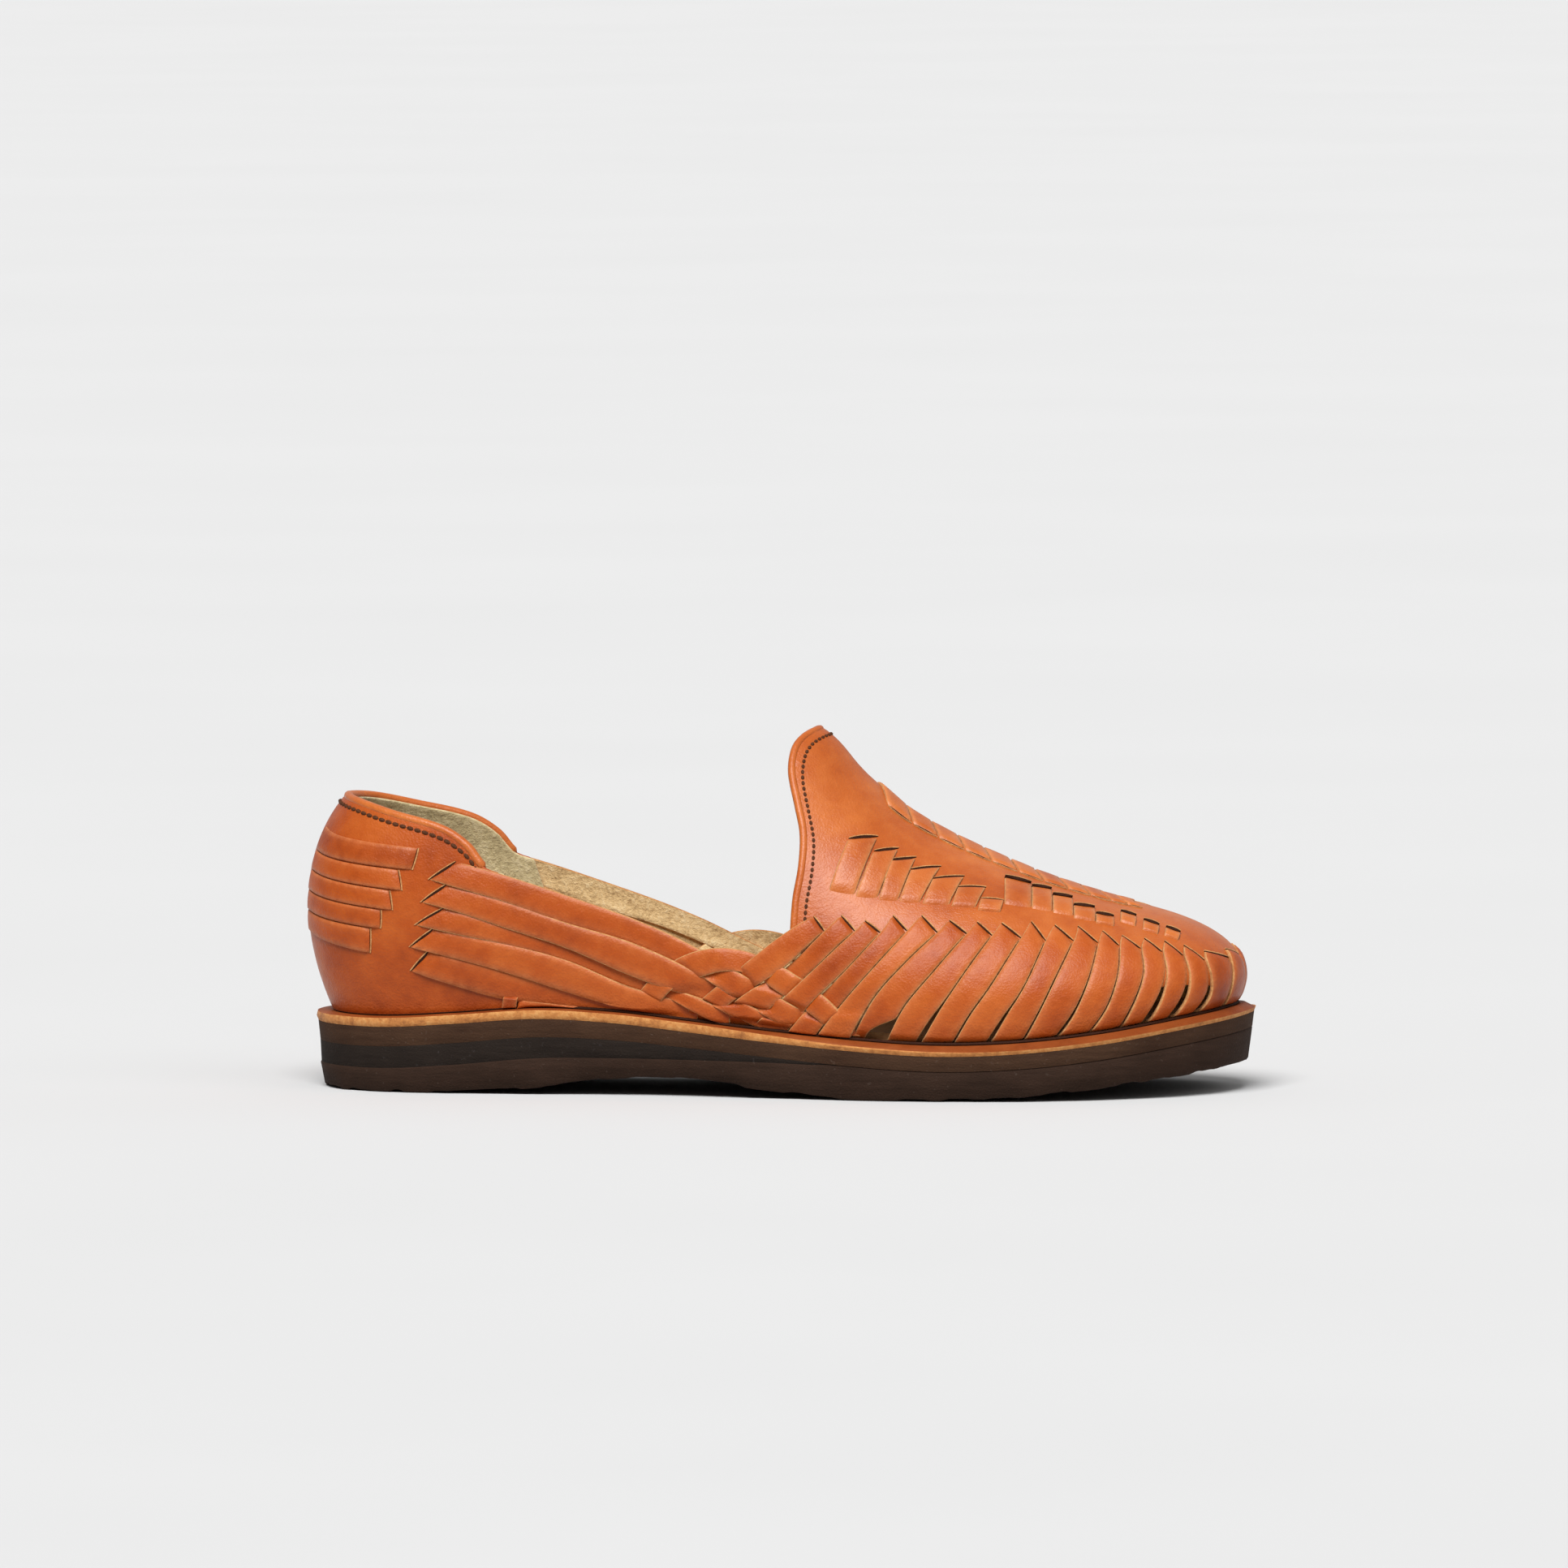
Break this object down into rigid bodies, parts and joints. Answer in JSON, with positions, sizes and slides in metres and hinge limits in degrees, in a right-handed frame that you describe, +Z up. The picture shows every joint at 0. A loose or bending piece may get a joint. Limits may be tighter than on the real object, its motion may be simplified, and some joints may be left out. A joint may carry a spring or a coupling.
{
  "type": "woven loafer",
  "caption": "Low slip-on leather shoe with a smooth vamp and tongue, woven strip sides, strapped open quarters, a closed heel and a layered flat sole.",
  "frame": {"origin": "on the floor under the middle of the shoe's box", "axes": "+X from heel to toe, +Y to the inner side of the foot, +Z up"},
  "size_m": [0.295, 0.1026, 0.1107],
  "materials": {
    "outsole_rubber": "matt dark brown foam rubber, trimmed by hand",
    "wedge_rubber": "matt dark grey foam rubber",
    "cushion_rubber": "matt brown foam rubber",
    "raw_leather": "raw cut edge, vegetable tan",
    "insole_leather": "smooth tan footbed",
    "tan_leather": "satin orange tan"
  },
  "bodies": {
    "root": {"outsole": "outsole_rubber", "heel_wedge": "wedge_rubber", "cushion_layer": "cushion_rubber", "leather_midsole": "raw_leather", "insole": "insole_leather", "upper": "tan_leather"}
  },
  "joints": []
}
